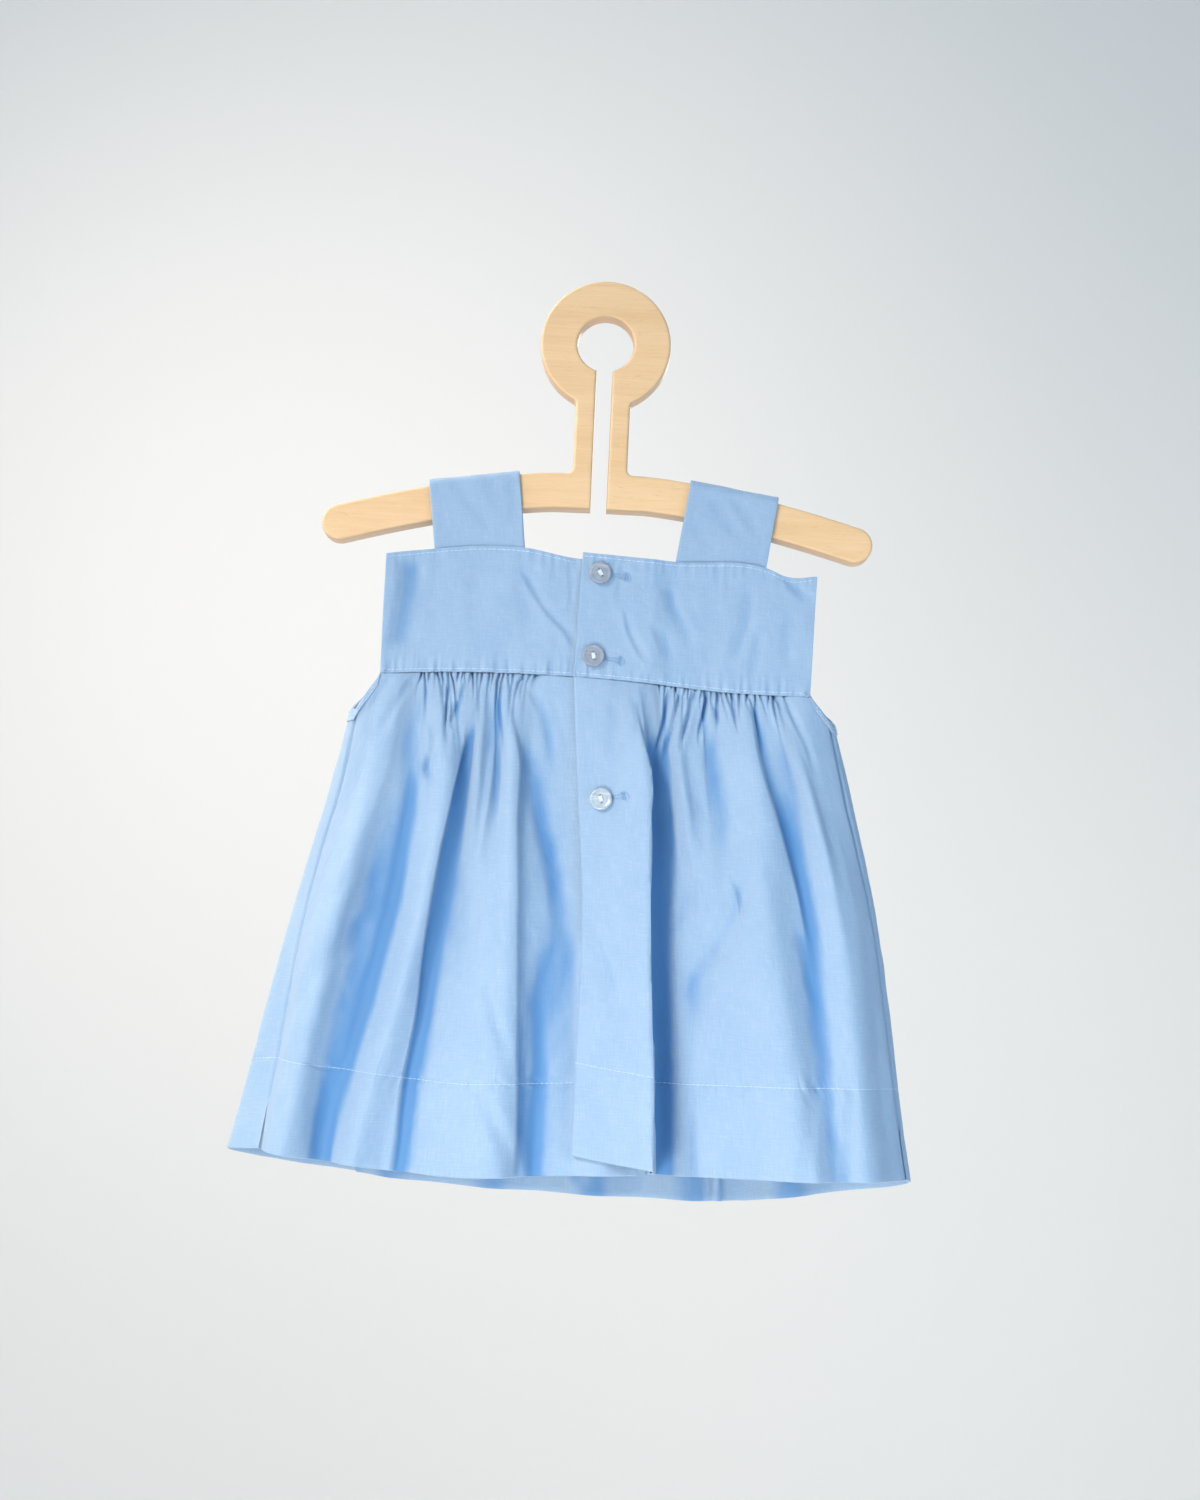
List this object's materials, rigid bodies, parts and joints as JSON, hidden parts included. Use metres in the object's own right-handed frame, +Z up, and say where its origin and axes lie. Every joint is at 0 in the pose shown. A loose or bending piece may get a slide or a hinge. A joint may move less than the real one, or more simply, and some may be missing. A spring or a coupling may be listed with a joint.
{
  "type": "sleeveless child's tunic on a wooden hanger",
  "caption": "Child's sleeveless cotton tunic with wide straps, a buttoned yoke and a gathered skirt, hung from a flat wooden hanger with a ring.",
  "frame": {"origin": "top of the eye in the hanger's ring, at half the board's thickness, where the nail or peg bears", "axes": "+Z up, +X to the viewer's right when looking at the buttoned front, +Y from the front to the back"},
  "size_m": [0.3477, 0.0664, 0.48],
  "materials": {
    "cotton": "light blue cotton poplin, matt, fine plain weave",
    "wood": "pale birch board, satin lacquer, rounded edges",
    "button": "grey pearly shell, polished"
  },
  "bodies": {
    "root": {"hanger": "wood", "yoke_front_left": "cotton", "yoke_front_right": "cotton", "yoke_back": "cotton", "strap_left": "cotton", "strap_right": "cotton", "skirt_front_left": "cotton", "skirt_front_right": "cotton", "skirt_back": "cotton", "armhole_binding_left": "cotton", "armhole_binding_right": "cotton", "button_1": "button", "button_2": "button", "button_3": "button"}
  },
  "joints": []
}
